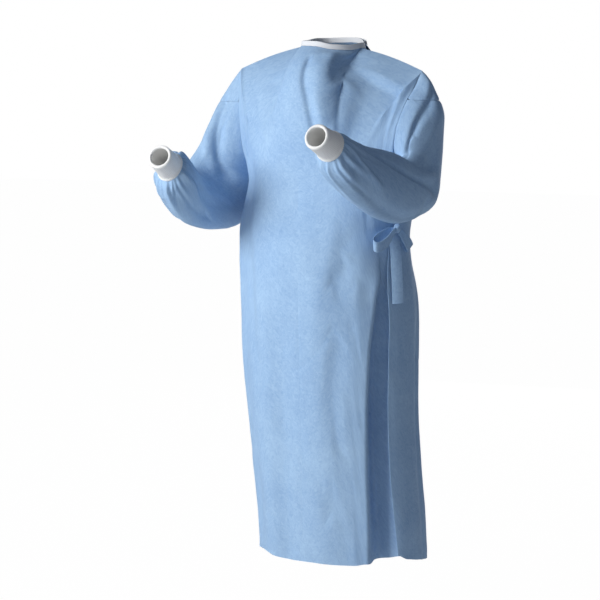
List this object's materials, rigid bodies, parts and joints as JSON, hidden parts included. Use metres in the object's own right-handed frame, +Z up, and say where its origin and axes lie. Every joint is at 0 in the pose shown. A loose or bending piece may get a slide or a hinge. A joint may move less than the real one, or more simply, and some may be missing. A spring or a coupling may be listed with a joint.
{
  "type": "surgical gown",
  "caption": "Long-sleeved blue surgical gown with white knit cuffs, bound round neck, wrap-over back and a bow tied at the left waist, standing open as worn.",
  "frame": {"origin": "between the shoulders, at the middle of the neck opening, where the wearer's shoulders hold the gown up", "axes": "+X to the wearer's left, -Y the way the wearer faces, +Z up"},
  "size_m": [0.637, 0.5682, 1.223],
  "materials": {
    "blue_cloth": "matt non-woven",
    "white_knit": "matt rib knit",
    "white_binding": "matt non-woven"
  },
  "bodies": {
    "root": {"front": "blue_cloth", "back_left": "blue_cloth", "back_right": "blue_cloth", "sleeve_left": "blue_cloth", "sleeve_right": "blue_cloth", "sleeve_cap_left": "blue_cloth", "sleeve_cap_right": "blue_cloth", "cuff_left": "white_knit", "cuff_right": "white_knit", "neck_binding": "white_binding", "tie_knot": "blue_cloth", "tie_loop_front": "blue_cloth", "tie_loop_back": "blue_cloth", "tie_tail_long": "blue_cloth", "tie_tail_short": "blue_cloth"}
  },
  "joints": []
}
